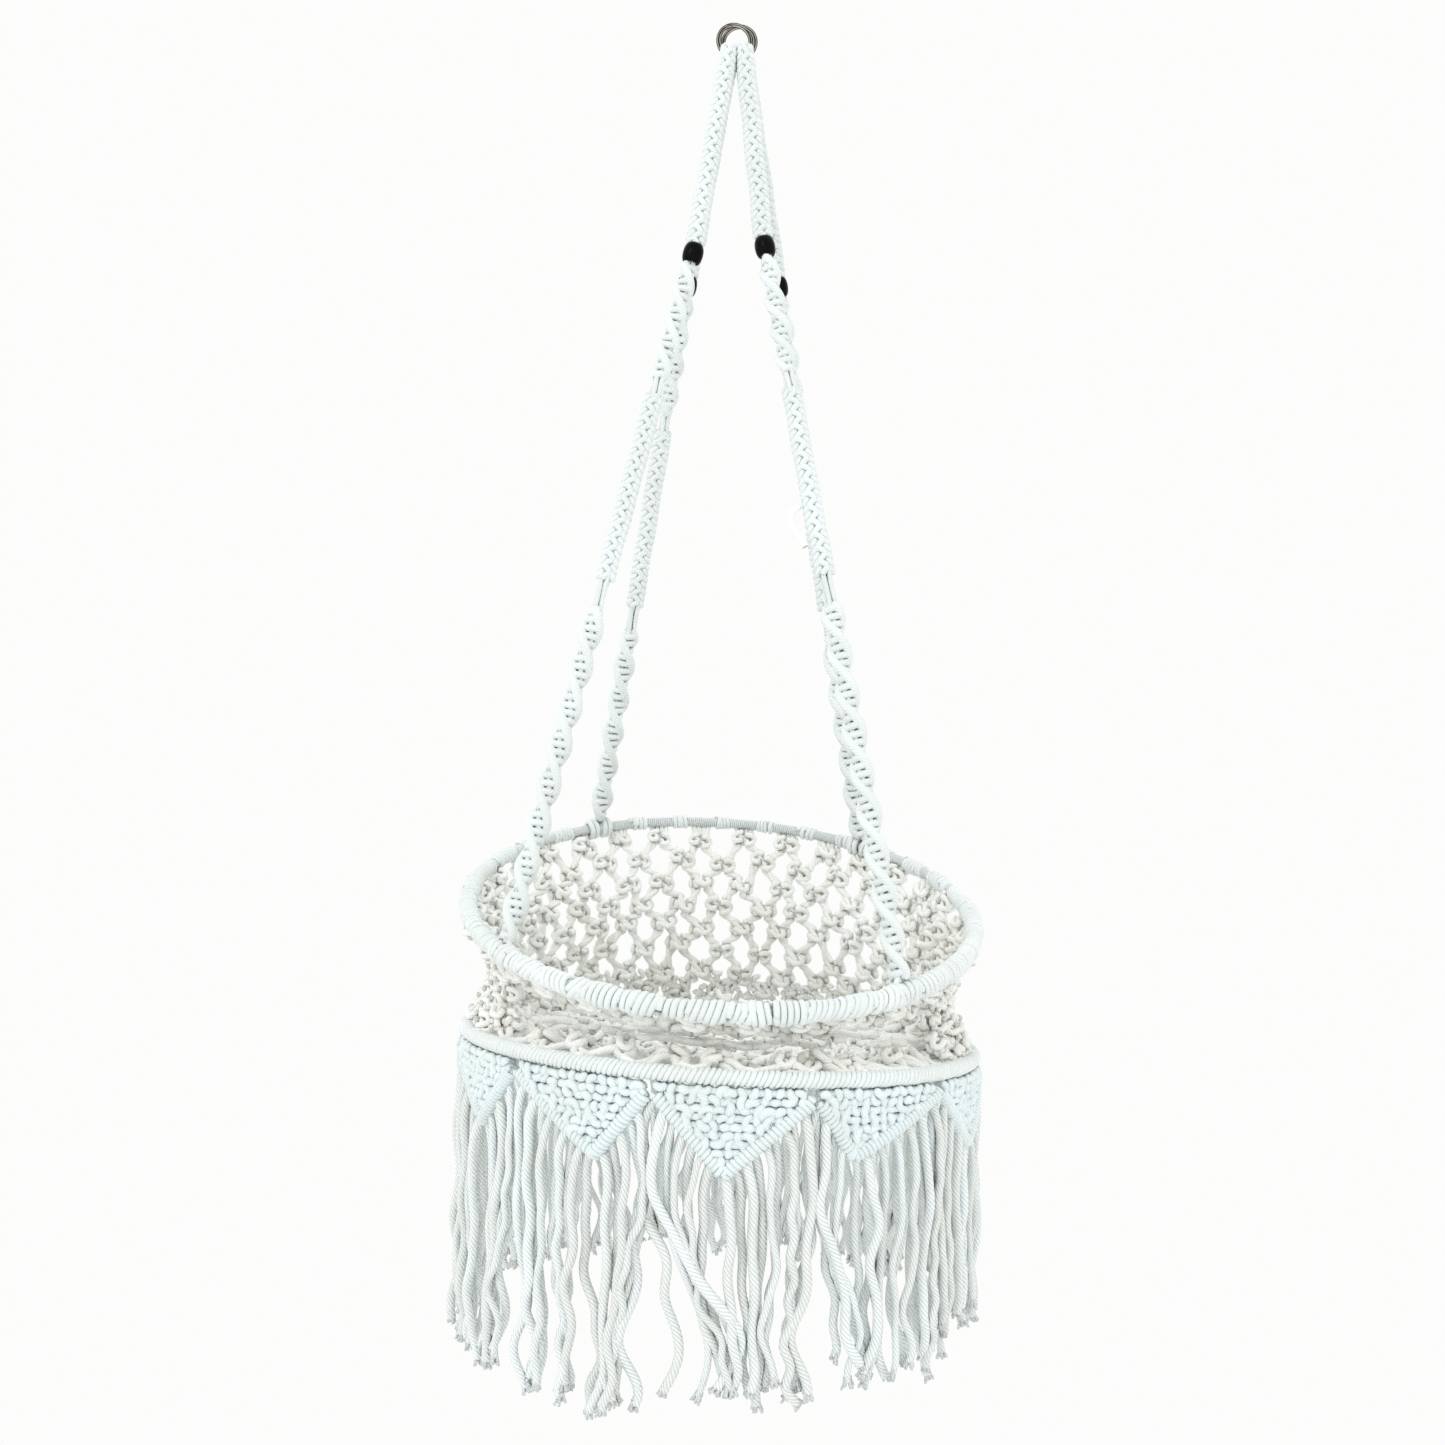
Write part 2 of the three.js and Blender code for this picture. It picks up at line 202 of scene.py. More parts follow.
class Piece:
    """Collects swept cords and copied knots, then becomes one mesh object.

    Each vertex carries a tone for its cord, and a wind of (cos, sin, distance): where it sits round
    the cord and how far along, from which the material draws the twist of the plies.
    """

    def __init__(self, name):
        self.name = name
        self.verts, self.quads, self.tris, self.tone, self.wind = [], [], [], [], []
        self.count = 0

    def add(self, verts, quads, tris, tone, wind):
        self.verts.append(verts)
        self.quads.append(quads + self.count)
        self.tris.append(tris + self.count)
        self.tone.append(tone)
        self.wind.append(wind)
        self.count += len(verts)

    def cords(self, paths, diameter, sides=8, taper=None):
        """Sweeps round cords along a batch of paths (k, n, 3). diameter is one value or one for each
        path, and taper scales it at each of the n points."""
        paths = np.asarray(paths, float)
        if paths.ndim == 2:
            paths = paths[None]
        k, n, _ = paths.shape
        outline = np.arange(sides) * TAU / sides
        tangent = unit(np.gradient(paths, axis=1))
        helper = np.where(np.abs(tangent[:, 0, 2:3]) > 0.8, [[1.0, 0, 0]], [[0, 0, 1.0]])
        # the outline is carried along the path without twisting
        normal = np.empty_like(paths)
        normal[:, 0] = unit(np.cross(tangent[:, 0], helper))
        for i in range(1, n):
            v = normal[:, i - 1]
            v = v - (v * tangent[:, i]).sum(-1, keepdims=True) * tangent[:, i]
            normal[:, i] = unit(v)
        binormal = np.cross(tangent, normal)
        steps = np.linalg.norm(np.diff(paths, axis=1), axis=-1)
        along = np.concatenate([np.zeros((k, 1)), np.cumsum(steps, 1)], 1)
        turn = np.broadcast_to(outline + rng.uniform(0, TAU, k)[:, None, None], (k, n, sides))
        radius = np.broadcast_to(np.asarray(diameter, float) / 2, (k,))[:, None] * np.ones((k, n))
        if taper is not None:
            radius = radius * taper
        r = radius[..., None]
        rings = (paths[:, :, None] + (r * np.cos(turn))[..., None] * normal[:, :, None]
                 + (r * np.sin(turn))[..., None] * binormal[:, :, None])
        # each end closes on a point a little beyond the path
        ends = paths[:, [0, -1]] + np.stack([-tangent[:, 0], tangent[:, -1]], 1) * (
            0.3 * radius[:, [0, -1], None])
        verts = np.concatenate([rings.reshape(-1, 3), ends.reshape(-1, 3)])
        index = np.arange(k * n * sides).reshape(k, n, sides)
        nxt = np.roll(index, -1, 2)
        quads = np.stack([index[:, :-1], nxt[:, :-1], nxt[:, 1:], index[:, 1:]], -1).reshape(-1, 4)
        tip = k * n * sides + np.arange(2 * k).reshape(k, 2)
        first = np.stack([nxt[:, 0], index[:, 0], np.broadcast_to(tip[:, :1], (k, sides))], -1)
        last = np.stack([index[:, -1], nxt[:, -1], np.broadcast_to(tip[:, 1:], (k, sides))], -1)
        tone = rng.uniform(0, 1, k)
        tone = np.concatenate([np.repeat(tone, n * sides), np.repeat(tone, 2)])
        wind = np.stack([np.cos(turn), np.sin(turn),
                         np.broadcast_to(along[..., None], turn.shape)], -1).reshape(-1, 3)
        wind = np.concatenate([wind, np.zeros((2 * k, 3))])
        self.add(verts, quads, np.concatenate([first.reshape(-1, 3), last.reshape(-1, 3)]), tone,
                 wind)

    def copies(self, template, origins, axes):
        """Adds a template piece once at each origin, turned by axes (q, 3, 3), columns x, y, z."""
        verts, quads, tris, _, wind = template.arrays()
        q, v = len(origins), len(verts)
        placed = np.einsum("qij,vj->qvi", axes, verts) + np.asarray(origins)[:, None]
        shift = (np.arange(q) * v)[:, None, None]
        tone = np.repeat(rng.uniform(0, 1, q), v)
        self.add(placed.reshape(-1, 3), (quads + shift).reshape(-1, 4),
                 (tris + shift).reshape(-1, 3), tone, np.tile(wind, (q, 1)))

    def arrays(self):
        return tuple(np.concatenate(v)
                     for v in (self.verts, self.quads, self.tris, self.tone, self.wind))

    def build(self, material):
        verts, quads, tris, tone, wind = self.arrays()
        mesh = bpy.data.meshes.new(self.name)
        mesh.vertices.add(len(verts))
        mesh.vertices.foreach_set("co", verts.astype(np.float32).ravel())
        loops = np.concatenate([quads.ravel(), tris.ravel()]).astype(np.int32)
        mesh.loops.add(len(loops))
        mesh.loops.foreach_set("vertex_index", loops)
        totals = np.concatenate([np.full(len(quads), 4), np.full(len(tris), 3)])
        starts = np.concatenate([[0], np.cumsum(totals)[:-1]])
        mesh.polygons.add(len(totals))
        mesh.polygons.foreach_set("loop_start", starts.astype(np.int32))
        mesh.polygons.foreach_set("loop_total", totals.astype(np.int32))
        mesh.polygons.foreach_set("use_smooth", np.full(len(totals), True))
        mesh.attributes.new("tone", "FLOAT", "POINT").data.foreach_set("value", tone)
        mesh.attributes.new("wind", "FLOAT_VECTOR", "POINT").data.foreach_set(
            "vector", wind.astype(np.float32).ravel())
        mesh.update(calc_edges=True)
        mesh.validate()
        mesh.materials.append(material)
        obj = bpy.data.objects.new(self.name, mesh)
        bpy.context.collection.objects.link(obj)
        return obj


class Course:
    """A line that knots follow: a centre, a side direction across the band and an outward normal."""

    def __init__(self, points, side, count=400):
        self.points = smooth_path(points, count)
        steps = np.linalg.norm(np.diff(self.points, axis=0), axis=1)
        self.s = np.concatenate([[0], np.cumsum(steps)])
        self.length = self.s[-1]
        tangent = unit(np.gradient(self.points, axis=0))
        side = np.asarray(side, float)
        self.side = unit(side - (tangent @ side)[:, None] * tangent)
        self.normal = np.cross(self.side, tangent)

    def place(self, s, x=0.0, y=0.0, turn=0.0):
        """Points at distances s, offset x across and y outward, in axes turned about the line."""
        def sample(a):
            return np.stack([np.interp(s, self.s, a[:, i]) for i in range(3)], -1)
        x, y, turn = (np.broadcast_to(v, np.shape(s)) for v in (x, y, turn))
        c, d = np.cos(turn), np.sin(turn)
        across, out = (x * c - y * d), (x * d + y * c)
        return (sample(self.points) + across[..., None] * sample(self.side)
                + out[..., None] * sample(self.normal))


# ---- kinds of knotwork ----
def flat_sennit(piece, course, start, end, squeeze=None):
    """Square knots in a flat band: two plaited cords down each edge, a cord that crosses from edge
    to edge on each face, and the straight cords that they are tied round."""
    s = np.linspace(start, end, int((end - start) / (0.55 * MM)))
    width = squeeze(s) if squeeze else 1.0
    wave = 0.3 * MM * np.sin(s / (8 * MM) + rng.uniform(0, TAU))
    a = TAU * s / SENNIT_PLAIT
    edges = []
    for side in (-1, 1):
        for strand in (0, math.pi):
            x = side * (3.6 + 1.2 * np.cos(a + strand)) * MM * width
            edges.append(course.place(s, x + wave, 1.5 * MM * np.sin(a + strand)))
    piece.cords(edges, SENNIT_EDGE_CORD, 9)
    bars = []
    for face in (-1, 1):
        lift = face * (1.5 + 1.1 * np.abs(np.sin(a + face)) ** 0.7) * MM
        x = 2.3 * MM * width * np.cos(a + face) + wave
        bars.append(course.place(s + 0.5 * MM * np.sin(2 * a), x, lift))
    piece.cords(bars, LEG_CORD * 1.25, 9)
    piece.cords([course.place(s[::8], x * MM) for x in (-2.6, 0, 2.6)], SENNIT_CORE_CORD)


def half_knot_spiral(piece, course, start, end, half_turn, rungs, phase, size):
    """Half knots tied one way: two cords wind round the leg, joined at each knot by a bar tied
    across the front and another across the back."""
    pitch = half_turn / rungs
    s = np.arange(start, end, 1.2 * MM)
    stack = phase + math.pi * (s - start) / half_turn
    ends = np.clip(np.minimum(s - start, end - s) / (8 * MM), 0, 1)
    reach = 4.35 * MM * size * (0.45 + 0.55 * np.sin(ends * math.pi / 2))
    reach = reach * (1 + 0.05 * np.sin(s / (9 * MM) + phase))
    winding = [course.place(s, sign * reach, 0, stack) for sign in (-1, 1)]
    piece.cords(winding, SPIRAL_CORD * size, 12)
    t = np.linspace(-1, 1, 11)
    bars = []
    for at in np.arange(start + 0.6 * pitch, end - 0.4 * pitch, pitch):
        turn = phase + math.pi * (at - start) / half_turn + rng.normal(0, 0.06)
        width = float(np.interp(at, s, reach))
        for face in (-1, 1):
            lift = face * 2.2 * MM * size * (1 - t * t) ** 0.5
            drop = at + face * 0.9 * MM * t + rng.normal(0, 0.2 * MM)
            bars.append(course.place(drop, width * t, lift, turn))
    piece.cords(bars, pitch * 0.93, 8)
    core = np.linspace(start - 2 * MM, end + 2 * MM, 40)
    twist = math.pi * (core - start) / half_turn
    piece.cords([course.place(core, sign * LEG_CORD * 0.5, 0, twist) for sign in (-1, 1)],
                LEG_CORD * 1.15)


def gathered_cords(piece, course, start, end):
    """Four bare cords between two kinds of knot, pulled together in the middle."""
    s = np.linspace(start - 3 * MM, end + 3 * MM, 26)
    middle = np.sin(np.linspace(0, math.pi, 26))
    paths = []
    for i in range(4):
        a = TAU * (i + 0.5) / 4 + 0.5 * np.linspace(0, 1, 26) + rng.uniform(-0.2, 0.2)
        reach = 2.1 * MM * (1.2 - 0.3 * middle) + rng.uniform(-0.2, 0.2) * MM
        paths.append(course.place(s, reach * np.cos(a) * 1.35, reach * np.sin(a)))
    piece.cords(paths, LEG_CORD)


def coil_round_hoop(piece, hoop, start, end, reach, cord, pitch, lean, wander=0.0, sides=8):
    """A cord wound round a hoop between two angles. reach is the coil's centreline radius, wander
    how much it varies, and lean how far the turns slant along the hoop."""
    turns = max(1.0, abs(end - start) * HOOP_RADIUS / pitch)
    t = np.linspace(0, turns, int(turns * 12) + 1)
    angle = start + (end - start) * t / turns
    knots = np.arange(int(turns) + 2)
    r = reach + wander * np.interp(t, knots, rng.uniform(-1, 1, len(knots)))
    angle = angle + lean * np.sin(TAU * t) / HOOP_RADIUS
    path = hoop.at(angle, r * np.cos(TAU * t), r * np.sin(TAU * t))
    piece.cords([path], cord, sides)


def square_knot_template(cord):
    """One pulled-down knot facing +Y: two pairs cross between bent cords tied round their middle."""
    template = Piece("template")
    crossing = [[(-1.5, 0.1, 1.5), (-0.7, 0.5, 0.6), (0.7, 0.6, -0.6), (1.5, 0.1, -1.5)],
                [(1.5, -0.1, 1.5), (0.7, -0.5, 0.6), (-0.7, -0.6, -0.6), (-1.5, -0.1, -1.5)]]
    bends = [[(-0.3, 1.0, 1.15), (-1.35, 0.7, 0.95), (-1.95, 0.3, 0.1), (-1.35, 0.8, -0.6),
              (-0.2, 1.35, -0.35)],
             [(0.3, 0.9, -1.2), (1.4, 0.7, -0.9), (1.95, 0.3, -0.05), (1.3, 0.9, 0.65),
              (0.1, 1.45, 0.5)],
             [(-0.9, -0.7, 0.8), (-1.2, -1.0, -0.2), (0.0, -1.3, -0.4), (1.2, -1.0, 0.2),
              (0.9, -0.7, -0.9)]]
    for group, count in ((crossing, 9), (bends, 16)):
        template.cords([smooth_path(np.array(line) * cord, count) for line in group], cord, 7)
    return template


# ---- materials ----
def principled(name, **settings):
    """A new material, its tree and its shader. A setting's name has _ for each space."""
    material = bpy.data.materials.new(name)
    material.use_nodes = True
    tree = material.node_tree
    shader = tree.nodes["Principled BSDF"]
    for key, value in settings.items():
        shader.inputs[key.replace("_", " ")].default_value = value
    return material, tree, shader


def ramp(tree, source, stops):
    node = tree.nodes.new("ShaderNodeValToRGB")
    tree.links.new(source, node.inputs["Fac"])
    while len(node.color_ramp.elements) < len(stops):
        node.color_ramp.elements.new(0.5)
    for element, (position, colour) in zip(node.color_ramp.elements, stops):
        element.position = position
        element.color = (*colour, 1)
    return node.outputs["Color"]


def noise(tree, scale, detail=3.0, roughness=0.6):
    coordinates = tree.nodes.new("ShaderNodeTexCoord")
    node = tree.nodes.new("ShaderNodeTexNoise")
    node.inputs["Scale"].default_value = scale
    node.inputs["Detail"].default_value = detail
    node.inputs["Roughness"].default_value = roughness
    tree.links.new(coordinates.outputs["Object"], node.inputs["Vector"])
    return node.outputs["Fac"]


def multiply(tree, factor, a, b):
    node = tree.nodes.new("ShaderNodeMix")
    node.data_type = "RGBA"
    node.blend_type = "MULTIPLY"
    node.inputs[0].default_value = factor
    tree.links.new(a, node.inputs[6])
    tree.links.new(b, node.inputs[7])
    return node.outputs[2]


def maths(tree, operation, a, b=None):
    node = tree.nodes.new("ShaderNodeMath")
    node.operation = operation
    for socket, value in zip(node.inputs, (a, b)):
        if isinstance(value, (int, float)):
            socket.default_value = value
        elif value is not None:
            tree.links.new(value, socket)
    return node.outputs[0]


def attribute(tree, name, output):
    node = tree.nodes.new("ShaderNodeAttribute")
    node.attribute_name = name
    return node.outputs[output]


def ply_lines(tree, plies, lay):
    """A wave that is low in the grooves between a cord's plies; lay is one full twist."""
    wind = tree.nodes.new("ShaderNodeSeparateXYZ")
    tree.links.new(attribute(tree, "wind", "Vector"), wind.inputs[0])
    x, y, along = wind.outputs
    angle = maths(tree, "MULTIPLY", maths(tree, "ARCTAN2", y, x), float(plies))
    phase = maths(tree, "ADD", angle, maths(tree, "MULTIPLY", along, TAU * plies / lay))
    return maths(tree, "MULTIPLY", maths(tree, "ADD", maths(tree, "SINE", phase), 1.0), 0.5)


def cotton(name, light, dark, crease_shade_colour, plies=6, lay=14 * MM, groove_shade=0.9, relief=0.35):
    """Matte twisted cotton: a tone for each cord, painted shade in the grooves between plies, fine
    fibres, and a painted warmer shade in the creases where cords press together."""
    material, tree, shader = principled(name, Roughness=0.92, Specular_IOR_Level=0.15)
    colour = ramp(tree, attribute(tree, "tone", "Fac"), [(0.0, dark), (1.0, light)])
    blotches = ramp(tree, noise(tree, 24.0), [(0.35, (0.95, 0.94, 0.92)), (0.65, (1, 1, 1))])
    colour = multiply(tree, 1.0, colour, blotches)
    lines = ply_lines(tree, plies, lay)
    # painted shade: the colour is darkened in the grooves between the plies
    shade = ramp(tree, lines, [(0.0, (groove_shade, groove_shade, groove_shade * 0.985)), (0.4, (1, 1, 1))])
    colour = multiply(tree, 1.0, colour, shade)
    # painted shade: ambient occlusion darkens and warms the colour in creases where cords press
    # together
    crease_occlusion = tree.nodes.new("ShaderNodeAmbientOcclusion")
    crease_occlusion.samples = 4
    crease_occlusion.inputs["Distance"].default_value = 3.2 * MM
    painted_crease_shade = ramp(tree, crease_occlusion.outputs["AO"], [(0.1, crease_shade_colour), (0.52, (1, 1, 1))])
    colour = multiply(tree, 1.0, colour, painted_crease_shade)
    tree.links.new(colour, shader.inputs["Base Color"])
    height = maths(tree, "ADD", maths(tree, "MULTIPLY", lines, relief),
                   maths(tree, "MULTIPLY", noise(tree, 900.0, 4.0, 0.7), 0.35))
    bump = tree.nodes.new("ShaderNodeBump")
    bump.inputs["Strength"].default_value = 0.7
    bump.inputs["Distance"].default_value = 1.0 * MM
    tree.links.new(height, bump.inputs["Height"])
    tree.links.new(bump.outputs["Normal"], shader.inputs["Normal"])
    return material


def metal(name, colour, worn, roughness):
    """Bare metal with worn patches and a roughness that varies finely."""
    material, tree, shader = principled(name, Metallic=1.0)
    tint = ramp(tree, noise(tree, 160.0), [(0.4, colour), (0.7, worn)])
    tree.links.new(tint, shader.inputs["Base Color"])
    scratches = tree.nodes.new("ShaderNodeMapRange")
    tree.links.new(noise(tree, 600.0), scratches.inputs["Value"])
    scratches.inputs["To Min"].default_value = roughness
    scratches.inputs["To Max"].default_value = roughness + 0.2
    tree.links.new(scratches.outputs["Result"], shader.inputs["Roughness"])
    return material


def plated_wire(name):
    """Worn nickel with a painted reflection of a dark room: bright along the wire, dark at the edges.
    """
    material, tree, shader = principled(name, Metallic=1.0, Roughness=0.3)
    # painted reflection: the colour is bright where the wire faces the view and near black at its edges
    facing = tree.nodes.new("ShaderNodeLayerWeight")
    facing.inputs["Blend"].default_value = 0.5
    dark = (0.02, 0.018, 0.015)
    painted_reflection_bands = ramp(tree, facing.outputs["Facing"],
                 [(0.0, (0.60, 0.59, 0.54)), (0.10, (0.22, 0.21, 0.18)), (0.22, dark),
                  (0.5, (0.10, 0.09, 0.06)), (0.9, dark)])
    stains = ramp(tree, noise(tree, 160.0), [(0.35, (0.55, 0.5, 0.4)), (0.65, (1, 1, 1))])
    tint = multiply(tree, 0.5, painted_reflection_bands, stains)
    tree.links.new(tint, shader.inputs["Base Color"])
    return material


def glossy_black(name):
    """Black lacquer, barely uneven in tone."""
    material, tree, shader = principled(name, Roughness=0.2, Specular_IOR_Level=0.05)
    tint = ramp(tree, noise(tree, 90.0), [(0.4, (0.002, 0.002, 0.002)), (0.7, (0.005, 0.005, 0.006))])
    tree.links.new(tint, shader.inputs["Base Color"])
    return material


# One cotton in several copies whose tones are painted light: the outer copies carry a cool tint like
# the lit front, and the inner and lacing copies are paler to make up for the shade inside the basket.
LEG_COTTON = cotton("leg_cotton", (0.80, 0.85, 0.855), (0.75, 0.80, 0.805), (0.60, 0.62, 0.61),
                    groove_shade=0.95)
WRAP_COTTON = cotton("hoop_cotton", (0.83, 0.875, 0.88), (0.78, 0.83, 0.835), (0.50, 0.52, 0.51),
                     groove_shade=0.95)
PENNANT_COTTON = cotton("pennant_cotton", (0.80, 0.875, 0.89), (0.75, 0.83, 0.85), (0.62, 0.65, 0.65))
FRINGE_COTTON = cotton("fringe_cotton", (0.90, 0.96, 0.975), (0.84, 0.87, 0.86), (0.50, 0.51, 0.49),
                       lay=19 * MM, groove_shade=0.73, relief=0.8)
INNER_COTTON = cotton("inner_cotton_cord", (0.94, 0.955, 0.935), (0.89, 0.90, 0.87),
                      (0.56, 0.555, 0.51))
LACING_COTTON = cotton("lacing_cotton", (0.98, 0.985, 0.97), (0.95, 0.955, 0.93), (0.72, 0.69, 0.62))
NICKEL = plated_wire("nickel_ring")
ROD_STEEL = metal("hoop_rod_steel", (0.55, 0.56, 0.56), (0.42, 0.42, 0.42), 0.4)
BEAD_BLACK = glossy_black("bead_black")


# ---- finishing a piece ----
def finish(piece, body, node, material):
    """Builds a piece that rides on a body and stands for a CAD node."""
    obj = piece.build(material)
    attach(obj, body)
    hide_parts(node)
    return obj


# ---- split rings ----
def split_ring(side, name):
    """Two turns of wire pressed against each other, with a step where one turn passes the other."""
    piece = Piece(f"{name}_coil")
    t = np.linspace(0, 2.06, 180)
    passing = np.clip((t - 0.98) / 0.10, 0, 1)
    step = passing * passing * (3 - 2 * passing) - 0.5
    angle = TAU * t + (1.15 if side > 0 else 1.75)
    radius = RING_RADIUS + 1.7 * MM * step
    x = side * RING_SHIFT_X + radius * np.cos(angle)
    z = RING_CENTRE_Z + radius * np.sin(angle)
    y = side * (RING_SHIFT_Y - 0.3 * MM) + 0.9 * MM * step - side * 0.16 * (x - side * RING_SHIFT_X)
    piece.cords([np.stack([x, y, z], -1)], RING_WIRE, 12)
    finish(piece, "rings", name, NICKEL)


# ---- legs ----
def leg_line(name):
    """A leg's bead centre, its end on the hoop, its direction, its side axis and its hoop angle."""
    place, angle = LEGS[name]
    centre = np.array(place) * MM
    hoop = upper.at(math.radians(angle))
    direction = unit(hoop - centre)
    side = unit(np.array([1.0, 0, 0]) - direction[0] * direction)
    return centre, hoop, direction, side, math.radians(angle)


def leg_course(name):
    centre, hoop, direction, side, _ = leg_line(name)
    steps = np.linspace(0, np.linalg.norm(hoop - centre), 12)[:, None]
    return Course(centre + direction * steps, side)


def rope_loop(name, front, back, sign):
    """One square-knot band from the front bead over the rings to the back bead."""
    turn_radius = LOOP_TURN_RADIUS
    arch = [(sign * LOOP_X, -turn_radius * math.cos(a), RING_BOTTOM_Z + turn_radius * math.sin(a))
            for a in np.linspace(0, math.pi, 7)]
    feet = [leg_line(leg)[0] - leg_line(leg)[2] * NECK_END for leg in (front, back)]
    rise = np.linspace(feet[0], arch[0], 46)[:-1]
    fall = np.linspace(arch[-1], feet[1], 46)[1:]
    course = Course([*rise, *arch, *fall], (1, 0, 0), 600)
    top = course.s[np.argmax(course.points[:, 2])]
    piece = Piece(f"{name}_knots")
    flat_sennit(piece, course, 0, course.length,
                squeeze=lambda s: 1 - 0.22 * np.exp(-((s - top) / (14 * MM)) ** 2))
    finish(piece, "harness", name, LEG_COTTON)


def bead(name):
    """A barrel turned from a closed profile of radius and height, in millimetres."""
    centre, _, direction, side, _ = leg_line(name)
    outer = [(3.6, -6.2), (3.9, -6.8), (4.7, -6.9), (5.8, -6.1), (6.6, -4.2), (7.0, -2.0), (7.1, 0),
             (7.0, 2.0), (6.6, 4.2), (5.8, 6.1), (4.7, 6.9), (3.9, 6.8), (3.6, 6.2), (3.6, 0)]
    profile = np.array(outer) * MM
    segments = 40
    a = np.arange(segments) * TAU / segments
    out = np.cross(side, direction)
    ring = np.cos(a)[:, None] * side + np.sin(a)[:, None] * out
    verts = (centre + profile[None, :, :1] * ring[:, None] - profile[None, :, 1:] * direction)
    index = np.arange(segments * len(profile)).reshape(segments, len(profile))
    right, down = np.roll(index, -1, 0), np.roll(index, -1, 1)
    quads = np.stack([index, right, np.roll(right, -1, 1), down], -1).reshape(-1, 4)
    piece = Piece(f"{name}_bead_barrel")
    count = verts.size // 3
    piece.add(verts.reshape(-1, 3), quads, np.zeros((0, 3), int), np.zeros(count),
              np.zeros((count, 3)))
    finish(piece, f"{name}_bead", f"{name}_bead", BEAD_BLACK)


def leg(name):
    """From the bead down: spiral, bare cords, flat sennit, bare cords and the longer spiral."""
    course = leg_course(name)
    centre, _, direction, side, _ = leg_line(name)
    top = Piece(f"{name}_upper_spiral_knots")
    neck = np.linspace(-NECK_END, NECK_END + 3 * MM, 8)[:, None]
    for i in range(4):
        a = TAU * (i + 0.5) / 4
        offset = 1.75 * MM * (math.cos(a) * side + math.sin(a) * np.cross(side, direction))
        top.cords([centre + offset + neck * direction], 2.2 * MM)
    phase = LEG_PHASES[name]
    half_knot_spiral(top, course, NECK_END + 0.5 * MM, SPIRAL_END, UPPER_SPIRAL_TURN,
                     UPPER_SPIRAL_RUNGS, phase, UPPER_SPIRAL_SIZE)
    gathered_cords(top, course, SPIRAL_END, CORDS_END)
    finish(top, "harness", f"{name}_upper_spiral", LEG_COTTON)

    middle = Piece(f"{name}_sennit_knots")
    flat_sennit(middle, course, CORDS_END, SENNIT_END)
    finish(middle, "harness", f"{name}_sennit", LEG_COTTON)

    bottom = Piece(f"{name}_lower_spiral_knots")
    gathered_cords(bottom, course, SENNIT_END, LOWER_CORDS_END)
    half_knot_spiral(bottom, course, LOWER_CORDS_END, course.length - 9 * MM, LOWER_SPIRAL_TURN,
                     LOWER_SPIRAL_RUNGS, phase + 1.0, LOWER_SPIRAL_SIZE)
    finish(bottom, "harness", f"{name}_lower_spiral", LEG_COTTON)


def hitch(name):
    """The leg's cords wound round the upper hoop, with the leg's end tucked between them."""
    _, hoop, direction, _, angle = leg_line(name)
    piece = Piece(f"{name}_hitch_cords")
    half = 9 * MM / HOOP_RADIUS
    for sign in (-1, 1):
        coil_round_hoop(piece, upper, angle + sign * half * 0.15, angle + sign * half, 6.2 * MM,
                        HITCH_CORD, HITCH_CORD, sign * 1.2 * MM)
    tangent = upper.axes(angle)[:, 0]
    for sign in (-1, 1):
        foot = hoop + tangent * sign * 4 * MM
        line = [hoop - direction * 14 * MM, hoop - direction * 9 * MM + tangent * sign * 2.5 * MM,
                foot - direction * 5.5 * MM, foot - direction * 1 * MM]
        piece.cords([smooth_path(line, 10)], HITCH_CORD)
    finish(piece, "harness", f"{name}_hitch", WRAP_COTTON)


# ---- hoops ----
def lower_wrap():
    """One close even winding all round."""
    piece = Piece("lower_hoop_wrap_cord")
    coil_round_hoop(piece, lower, 0, TAU, WRAP_OUTER - 1.6 * MM, WRAP_CORD, WRAP_PITCH, 1.5 * MM,
                    wander=0.3 * MM)
    finish(piece, "lower_hoop", "lower_hoop_wrap", WRAP_COTTON)


def upper_wrap():
    """A thin even wrap over the rod, and hitches that grow fatter and less even to the front."""
    piece = Piece("upper_hoop_wrap_cord")
    coil_round_hoop(piece, upper, 0, TAU, 3.2 * MM, UNDER_WRAP_CORD, UNDER_WRAP_PITCH, 0.0,
                    wander=0.1 * MM, sides=6)
    for column in range(NET_COLUMNS):
        angle = TAU * column / NET_COLUMNS
        front = 0.5 - 0.5 * math.sin(angle)
        half = min(5.5 + 24 * front, 19.5) * MM / HOOP_RADIUS
        split = rng.uniform(-0.5, 0.5) * half
        for a, b in ((-half, split), (split, half)):
            cord = (3.0 + 1.4 * front + rng.uniform(-0.3, 0.6)) * MM
            reach = (3.7 + 0.8 * front) * MM + rng.uniform(-0.2, 1.0) * MM * front
            lean = rng.normal(0.8, 0.5 + 1.3 * front) * MM
            coil_round_hoop(piece, upper, angle + a, angle + b, reach, cord, cord * 0.94, lean,
                            wander=(0.3 + 0.8 * front) * MM)
    finish(piece, "harness", "upper_hoop_wrap", WRAP_COTTON)


# ---- the net wall ----
def net_point(angle, rise, out=0.0):
    """A point on the net: rise 0 is at the lower hoop and 1 at the upper hoop. Between them the net
    draws in to a waist, most of all at the low front."""
    angle, rise = np.broadcast_arrays(np.asarray(angle, float), np.asarray(rise, float))
    low = lower.at(angle, -5 * MM, 5.0 * MM)
    high = upper.at(angle, -1 * MM, -5.5 * MM)
    slack = 17 * MM + 26 * MM * np.clip(-np.sin(angle) * 1.6 - 0.75, 0, 1)
    waist = slack * np.sin(math.pi * rise)
    radial = np.stack([np.cos(angle), np.sin(angle), np.zeros_like(angle)], -1)
    point = low + (high - low) * rise[..., None]
    return point + radial * (out - waist)[..., None]


